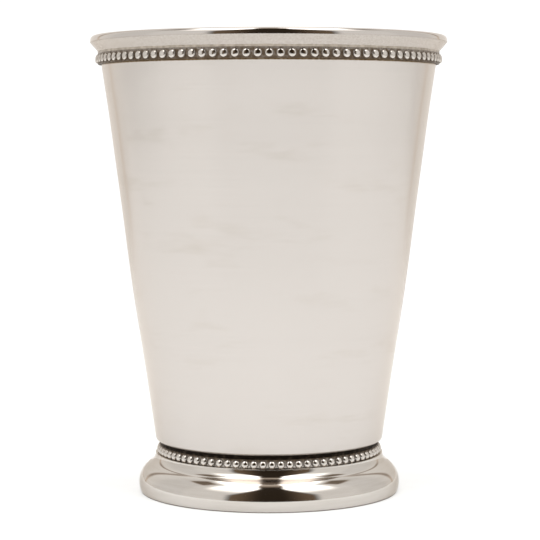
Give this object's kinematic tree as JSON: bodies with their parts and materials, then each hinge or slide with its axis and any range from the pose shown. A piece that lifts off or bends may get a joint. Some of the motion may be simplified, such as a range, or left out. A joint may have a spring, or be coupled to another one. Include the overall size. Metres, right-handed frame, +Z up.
{
  "type": "julep cup",
  "caption": "Tapered metal julep cup with a satin spun bowl, flared lip, polished bead bands at rim and foot, and a hollow stepped foot; holds a mixed drink or a small bouquet.",
  "frame": {"origin": "on the table, in the middle of the foot's rest edge", "axes": "+Z up along the cup's axis to the lip; the pictured side faces -Y; +X to the right in the picture"},
  "size_m": [0.0888, 0.0888, 0.114],
  "materials": {
    "satin_nickel": "satin, very fine turning lines round the wall",
    "polished_nickel": "mirror polished",
    "solder": "dull, as run"
  },
  "bodies": {
    "root": {"bowl": "satin_nickel", "rim_bead_band": "polished_nickel", "rim_solder_seam": "solder", "foot": "polished_nickel", "foot_bead_band": "polished_nickel", "foot_solder_seam": "solder"}
  },
  "joints": []
}
